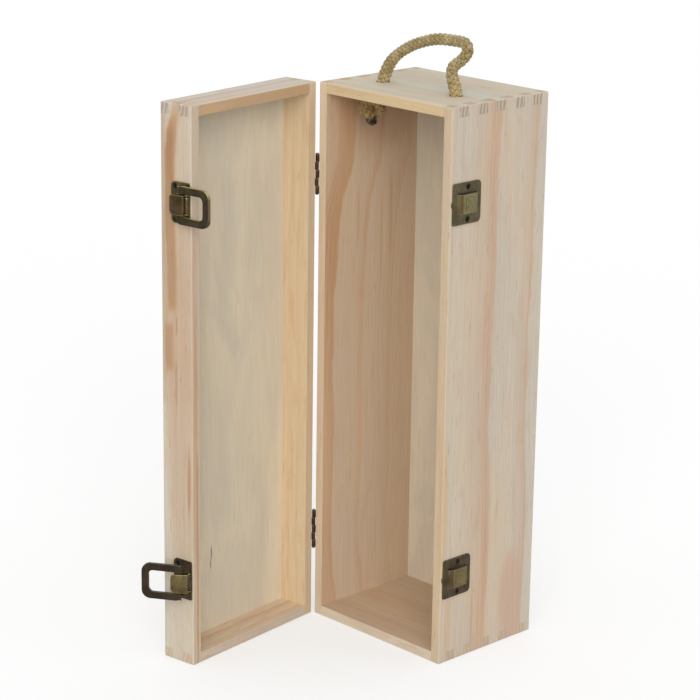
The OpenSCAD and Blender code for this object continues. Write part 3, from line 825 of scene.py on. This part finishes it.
def brass(name, base, dark, wear_and_sheen, roughness=0.4, raised=None, plane=None):
    """Antique brass: worn bright on its edges, with painted highlight on the upper ones, and
    mottled.

    raised is (low, high, colour, sloped colour): what stands proud of the case's right face
    takes those colours from low to high, in mm, the sloped colour being painted shade on its
    steep sides. plane is the normal of a flat piece, whose narrow sides take the worn tone,
    with painted highlight where they face up.
    """
    shader = Shader(name)
    mottle = shader.noise(shader.coords, 520.0, 4.0, 0.6)
    patches = shader.noise(shader.coords, 130.0, 3.0, 0.5)
    _, depth, up = shader.split(shader.normal)
    proud = 0.0
    if raised is not None:
        low, high, paint, slope_shade = raised
        height = shader.math("MULTIPLY_ADD", shader.split(shader.coords)[0], 1 / MM, -SIDE)
        proud = shader.range(height, low, high)
        # Painted shade: the steep sides of the tongue take the darker sloped colour
        steep = shader.range(shader.math("ABSOLUTE", depth), 0.1, 0.3)
        base = shader.mix(proud, base, shader.mix(steep, paint, slope_shade))
    patchy = shader.range(patches, 0.35, 0.65, 0, BLOTCHY)
    patchy = shader.math("MULTIPLY", patchy, shader.math("MULTIPLY_ADD", proud, -0.65, 1.0))
    colour = shader.mix(patchy, base, dark)
    colour = shader.mix(shader.range(mottle, 0.5, 0.75, 0, 0.5), colour, dark)
    # Painted highlight: the worn edges and narrow sides that face up are brighter, as if lit from
    # above
    lit_from_above = shader.range(up, -0.2, 0.5, 0.3 if plane is None else 0.12, 1.0)
    if plane is None:
        worn_lit_edge = shader.edge(WEAR_AND_SHEEN_WIDTH, 0.99, 0.84)
    else:
        facing = shader.vector("DOT_PRODUCT", shader.normal, tuple(plane))
        worn_lit_edge = shader.range(shader.math("ABSOLUTE", facing), 0.8, 0.4)
    colour = shader.mix(shader.math("MULTIPLY", worn_lit_edge, lit_from_above), colour, wear_and_sheen)
    return shader.set(
        Base_Color=colour,
        Metallic=0.85,
        Roughness=shader.range(mottle, 0.3, 0.7, roughness - 0.06, roughness + 0.1),
        Normal=shader.bump(mottle, 0.03 * MM, 0.3),
    )


def soften(node, width, segments=2):
    """Rounds the edges of a metal CAD node."""
    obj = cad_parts[node]
    weld = obj.modifiers.new("weld", "WELD")
    weld.merge_threshold = WELD_REACH
    bevel = obj.modifiers.new("bevel", "BEVEL")
    bevel.width = width
    bevel.segments = segments
    bevel.limit_method = "ANGLE"
    bevel.angle_limit = BEVEL_ANGLE
    bevel.use_clamp_overlap = True
    return obj


def flat_normal(node):
    """The normal of the two wide faces of a flat piece."""
    areas = {}
    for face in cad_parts[node].data.polygons:
        n = face.normal * (1 if tuple(face.normal) > (0, 0, 0) else -1)
        key = tuple(round(c, 2) for c in n)
        areas[key] = areas.get(key, 0) + face.area
    return Vector(max(areas, key=areas.get)).normalized()


def dress_latch(level, tones):
    """The upper or the lower latch, with its catch."""
    base, dark = (srgb(*c) for c in tones["catch"])
    raised = (TONGUE_FROM, TONGUE_FULL, srgb(*tones["tongue"]), TONGUE_SLOPE_SHADE)
    catch = brass(f"brass_catch_{level}", base, dark, CATCH_WEAR_AND_SHEEN, raised=raised)
    flat = flat_normal(f"{level}_ring")
    ring = brass(f"brass_ring_{level}", *(srgb(*c) for c in tones["ring"]), plane=flat)
    lever = brass(f"brass_lever_{level}", *(srgb(*c) for c in tones["lever"]))
    plate = brass(f"brass_plate_{level}", *(srgb(*c) for c in tones["plate"]))
    dress(soften(f"{level}_catch", FINE_BEVEL), catch)
    for part in ("lever_pin", "ring_pin", "latch_base"):
        dress(soften(f"{level}_{part}", FINE_BEVEL), plate)
    dress(soften(f"{level}_lever", LEVER_BEVEL), lever)
    dress(soften(f"{level}_ring", RING_BEVEL, 3), ring)


def dress_metal():
    """Both hinges share one brass, and so do all the nails; each latch has its own tones."""
    hinge = brass("brass_hinge", *(srgb(*c) for c in HINGE_TONES))
    nails = brass("nail_dark", *(srgb(*c) for c in NAIL_TONES), roughness=0.5)
    for level, tones in LATCH_TONES.items():
        dress_latch(level, tones)
        for part in ("case_leaf", "lid_leaf", "pin"):
            dress(soften(f"{level}_hinge_{part}", FINE_BEVEL), hinge)
    for node in ("case_nails", "lid_nails"):
        dress(node, nails)


# ---- rope -----------------------------------------------------------------------------

ROPE_D = 7.5 * MM
ROPE_PITCH = 62.4 * MM
ROPE_Y = -(LID_D + SEAM_GAP) / 2
ROPE_STEP = 0.5 * MM
# The route above the top, from the left hole, in mm, as in the part's source
ROPE_ARCH = (
    (4, 0, 9), (9.5, 0, 16), (19, 0, 22.5), (30, 0, 27.5), (44, 1, 31.5), (58, 3, 32),
    (67, 2, 31.5), (70.5, 0, 27), (67.5, -2, 22), (62.5, -3, 18), (61, -3, 13), (61.5, -1, 6.5),
)
# The rope's thickness along it, as (share of the way, share of the full thickness): it is
# thin in the holes, and full and uneven just above them
ROPE_SWELL = (
    (0, 1.0), (0.05, 1.0), (0.075, 1.12), (0.14, 1.08), (0.25, 0.97), (0.4, 0.96), (0.5, 1.0),
    (0.65, 0.98), (0.74, 1.0), (0.84, 1.0), (0.91, 1.12), (0.935, 1.12), (0.955, 1.0), (1, 1.0),
)

# The plait: the length in which a strand goes once round, how many strands wind each way,
# and the points round a strand
LAY = 14 * MM
STRANDS = 4
STRAND_SIDES = 10
# Half a strand's thickness as a share of the cord's radius, and its width as a share of its
# room
STRAND_HALF_THICK = 0.24
STRAND_WIDE = 1.02

KNOT_D = 0.98 * ROPE_D
KNOT_STEP = 0.6 * MM
# Painted shade: the knots hang in the shade under the top, so their yarn is multiplied darker and
# browner
KNOT_SHADE = (0.98, 0.83, 0.62)
LUMP_R = 3.1 * MM
# How far from a knot's end its fibres are charred: quite, and a little
CHARRED, SINGED = 5.0 * MM, 6.4 * MM
# A stopper knot seen from the mouth of the case: X to the viewer's right, Y away from the
# viewer, Z up from the underside of the top, in mm
KNOT_ROUTE = (
    (0, 0, 0.5), (-1.0, 2.0, -3), (-1.4, 3.6, -7.5), (-2.6, 4.0, -12), (-7.0, 3.4, -14.6),
    (-10.6, 0.6, -12.2), (-10.8, -2.6, -7.2), (-7.4, -4.4, -3.8), (-2.8, -4.2, -5.6),
    (-1.2, -2.4, -10.0), (-4.2, 0.4, -12.0), (-7.2, 0.8, -9.0), (-8.8, -1.2, -9.4),
    (-7.8, -3.6, -13.0), (-6.6, -3.8, -17.0),
)
LEFT_KNOT_TURN = math.radians(46)
RIGHT_KNOT_TURN = math.radians(200)

YARN_GOLD = srgb(186, 166, 116)
YARN_BROWN = srgb(148, 128, 78)
YARN_BEIGE = srgb(208, 192, 156)
YARN_TWIST = srgb(118, 94, 52)
# The painted shade in the gaps between strands
YARN_GAP_SHADE = srgb(72, 52, 22)
YARN_FIBRE = srgb(212, 196, 156)
CHAR = srgb(22, 19, 13)


def rope_route():
    left = Vector((-ROPE_PITCH / 2, ROPE_Y, BOX_H))
    right = Vector((ROPE_PITCH / 2, ROPE_Y, BOX_H))
    down = Vector((0, 0, -BOARD_T))
    return catmull(
        [left + down, left + down / 2, left]
        + [left + Vector(p) * MM for p in ROPE_ARCH]
        + [right, right + down / 2, right + down],
        6,
    )


def rope_swell(share):
    return np.interp(share, *zip(*ROPE_SWELL))


def strand_points(centre, out, width, half_thick):
    """Rings of points round a strand's middle line, as a flattened oval that lies snugly."""
    run = np.gradient(centre, axis=0)
    run /= np.linalg.norm(run, axis=1)[:, None]
    across = np.cross(run, out)
    across /= np.linalg.norm(across, axis=1)[:, None]
    rim = np.linspace(0, 2 * math.pi, STRAND_SIDES, endpoint=False)[:, None]
    cos_rim = np.sign(np.cos(rim)) * np.abs(np.cos(rim)) ** 0.8
    rings = (
        centre[:, None]
        + (width / 2)[:, None] * cos_rim * across[:, None]
        + half_thick[:, None] * np.sin(rim) * out[:, None]
    )
    return rings.reshape(-1, 3)


def tube_faces(base, count, sides):
    """The faces of a closed tube of count rings of points, the first of them number base."""
    faces = []
    for i in range(count - 1):
        for s in range(sides):
            a, b = base + i * sides + s, base + i * sides + (s + 1) % sides
            faces.append((a, b, b + sides, a + sides))
    faces.append(tuple(base + s for s in reversed(range(sides))))
    faces.append(tuple(base + (count - 1) * sides + s for s in range(sides)))
    return faces


def braid(name, route, radius, swell, step):
    """A plaited cord along route, whose strands wind both ways.

    Each strand goes over one and under one of those that it meets. swell gives the cord's
    thickness, as a share of the full one, for places from 0 to 1 along it.
    """
    points, length = even(route, 400)
    points, _ = even(points, max(int(length / step), 24))
    side, other = sideways(points)
    along = np.linspace(0, length, len(points))
    half_thick = radius * STRAND_HALF_THICK
    mean = radius - 1.55 * half_thick
    slant = math.atan2(2 * math.pi * mean, LAY)
    wide = STRAND_WIDE * (2 * math.pi * mean / STRANDS) * math.cos(slant)
    full = swell(along / length)[:, None]
    verts, faces, strand = [], [], []
    for way in (1, -1):
        for k in range(STRANDS):
            turn = way * 2 * math.pi * along / LAY + 2 * math.pi * k / STRANDS
            weave = STRANDS * 2 * math.pi * along / LAY + (0 if way > 0 else math.pi)
            out = np.cos(turn)[:, None] * side + np.sin(turn)[:, None] * other
            lift = mean + 0.55 * half_thick * np.cos(weave)
            centre = points + lift[:, None] * full * out
            faces += tube_faces(len(verts), len(points), STRAND_SIDES)
            verts.extend(strand_points(centre, out, full * wide, full * half_thick))
            tone = (k * 0.37 + 0.25 * (way + 1)) % 1
            strand += [
                (place / MM, s / STRAND_SIDES, tone) for place in along for s in range(STRAND_SIDES)
            ]
    obj = mesh_object(name, verts, faces)
    attribute = obj.data.attributes.new("strand", "FLOAT_VECTOR", "POINT")
    attribute.data.foreach_set("vector", np.array(strand, np.float32).ravel())
    return obj, points, length


def rope_material(name, burnt=None, shade_tint=(1.0, 1.0, 1.0)):
    """Beige and gold yarn: each strand is many twisted fibres, darker down in the gaps.

    burnt makes the socket that says where the yarn is charred, and the tint given last, painted
    shade, multiplies its colour. A strand's own numbers are the mm along it, the share of the
    way round it and its tone.
    """
    shader = Shader(name)
    strand = shader.node("ShaderNodeAttribute", attribute_name="strand").outputs["Vector"]
    run, turn, tone = shader.split(strand)
    wound = shader.math("MULTIPLY_ADD", run, 7.0, shader.math("MULTIPLY", turn, 6 * math.pi))
    twist = shader.math("SINE", wound)
    fibre = shader.noise(shader.coords, 1500.0, 4.0, 0.7)
    patch = shader.noise(shader.coords, 160.0, 2.0, 0.5)
    colour = shader.mix(shader.range(patch, 0.35, 0.65), YARN_GOLD, YARN_BROWN)
    colour = shader.mix(shader.math("MULTIPLY", tone, 0.3), colour, YARN_BEIGE)
    colour = shader.mix(shader.range(twist, -1, 1, 0.0, 0.45), colour, YARN_TWIST)
    # painted shade darkens a strand's flanks and underside, and leaves its outer side pale
    top = shader.range(shader.math("SINE", shader.math("MULTIPLY", turn, 2 * math.pi)), 0.1, 0.8)
    colour = shader.mix(shader.math("MULTIPLY_ADD", top, -0.72, 0.72), colour, YARN_GAP_SHADE)
    colour = shader.mix(shader.range(fibre, 0.5, 0.75, 0.0, 0.3), colour, YARN_FIBRE)
    # Painted shade, for the knots that hang under the top
    colour = shader.mix(1.0, colour, shade_tint, "MULTIPLY")
    if burnt is not None:
        colour = shader.mix(burnt(shader), colour, CHAR)
    relief = shader.math("MULTIPLY_ADD", fibre, 0.6, shader.math("MULTIPLY", twist, 0.5))
    return shader.set(
        Base_Color=colour,
        Roughness=0.7,
        Sheen_Weight=0.25,
        Sheen_Roughness=0.5,
        Specular_IOR_Level=0.25,
        Normal=shader.bump(relief, 0.14 * MM, 0.7),
    )


def melt_end(piece, end):
    """Adds to a piece the lump of melted fibre that keeps a cut end from fraying."""
    mesh = bmesh.new()
    mesh.from_mesh(piece.data)
    lump = bmesh.ops.create_icosphere(
        mesh, subdivisions=3, radius=LUMP_R, matrix=Matrix.Translation(end)
    )
    for vert in lump["verts"]:
        vert.co = end + (vert.co - end) * (1 + 0.35 * noise.noise(vert.co * 600))
    for face in mesh.faces:
        face.smooth = True
    mesh.to_mesh(piece.data)
    mesh.free()


def make_knot(name, hole_x, turn):
    """A stopper knot under a hole, turned about the hole, with its end melted together."""
    place = (
        Matrix.Translation((hole_x, ROPE_Y, BOX_H - BOARD_T))
        @ Matrix.Rotation(turn, 4, "Z")
        @ Matrix.Scale(MM, 4)
    )
    route = catmull([place @ Vector(p) for p in KNOT_ROUTE], 8)
    knot, _, _ = braid(name, route, KNOT_D / 2, np.ones_like, KNOT_STEP)
    end = route[-1]
    melt_end(knot, end)

    def burnt(shader):
        away = shader.vector("SUBTRACT", shader.coords, tuple(end))
        rough = shader.noise(shader.coords, 500.0, 3.0, 0.6)
        reach = shader.math("MULTIPLY_ADD", rough, 3.5 * MM, shader.vector("LENGTH", away))
        return shader.range(reach, SINGED, CHARRED)

    dress(knot, rope_material("rope_" + name, burnt, KNOT_SHADE))
    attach(knot, "case")
    return knot


def make_rope():
    rope, points, length = braid("rope_plait", rope_route(), ROPE_D / 2, rope_swell, ROPE_STEP)
    dress(rope, rope_material("rope_plait"))
    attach(rope, "case")
    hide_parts("rope_handle")
    knots = [
        make_knot("knot_left", -ROPE_PITCH / 2, LEFT_KNOT_TURN),
        make_knot("knot_right", ROPE_PITCH / 2, RIGHT_KNOT_TURN),
    ]
    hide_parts("left_knot")
    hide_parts("right_knot")


# ---- studio ---------------------------------------------------------------------------

# The floor lies just under the case, and glows a little where it is seen directly
FLOOR_HALF = 9
FLOOR_DROP = 0.05 * MM
FLOOR_GLOW = 0.5
# The sky's strength below and above
SKY_BELOW, SKY_ABOVE = 0.45, 1.0
LAMP_TOWARDS = (-0.69, 0.67, -0.35)
LAMP_STRENGTH = 1.7
LAMP_SPREAD = math.radians(50)


def seen_directly(tree):
    """1 for what the camera sees, itself, in metal or through glass, and 0 for soft light."""
    path = tree.nodes.new("ShaderNodeLightPath")
    first, both = (tree.nodes.new("ShaderNodeMath") for _ in range(2))
    first.operation = both.operation = "MAXIMUM"
    tree.links.new(path.outputs["Is Camera Ray"], first.inputs[0])
    tree.links.new(path.outputs["Is Glossy Ray"], first.inputs[1])
    tree.links.new(first.outputs[0], both.inputs[0])
    tree.links.new(path.outputs["Is Transmission Ray"], both.inputs[1])
    return both.outputs[0]


def make_floor():
    """A pale floor that the camera sees as white, with the object's soft shadow on it."""
    shader = Shader("floor_white")
    h = FLOOR_HALF
    corners = [(-h, -h, 0), (h, -h, 0), (h, h, 0), (-h, h, 0)]
    floor = mesh_object("floor", corners, [(0, 1, 2, 3)], smooth=False)
    floor.location.z = -FLOOR_DROP
    glow = shader.math("MULTIPLY", seen_directly(shader.tree), FLOOR_GLOW)
    dress(
        floor,
        shader.set(
            Base_Color=(0.5, 0.5, 0.5),
            Emission_Color=(1, 1, 1),
            Emission_Strength=glow,
            Roughness=0.9,
            Specular_IOR_Level=0.0,
        ),
    )


def make_world():
    """Soft light from all round, brighter from above."""
    world = bpy.data.worlds.new("studio")
    world.use_nodes = True
    tree = world.node_tree
    sky = tree.nodes["Background"]
    place = tree.nodes.new("ShaderNodeTexCoord")
    split = tree.nodes.new("ShaderNodeSeparateXYZ")
    level = tree.nodes.new("ShaderNodeMapRange")
    tree.links.new(place.outputs["Generated"], split.inputs[0])
    tree.links.new(split.outputs["Z"], level.inputs["Value"])
    level.inputs["To Min"].default_value = SKY_BELOW
    level.inputs["To Max"].default_value = SKY_ABOVE
    tree.links.new(level.outputs["Result"], sky.inputs["Strength"])
    sky.inputs["Color"].default_value = (1.0, 1.0, 1.0, 1)
    bpy.context.scene.world = world


def make_lamp():
    """A broad, even lamp that shines from the viewer's side, a little from above."""
    data = bpy.data.lights.new("front", "SUN")
    data.energy = LAMP_STRENGTH
    data.angle = LAMP_SPREAD
    lamp = bpy.data.objects.new("front", data)
    lamp.rotation_euler = Vector(LAMP_TOWARDS).to_track_quat("-Z", "Y").to_euler()
    bpy.context.scene.collection.objects.link(lamp)


def make_studio():
    make_floor()
    make_world()
    make_lamp()
    bpy.context.scene.view_settings.view_transform = "Standard"


make_rope()
dress_boards()
dress_metal()
make_studio()
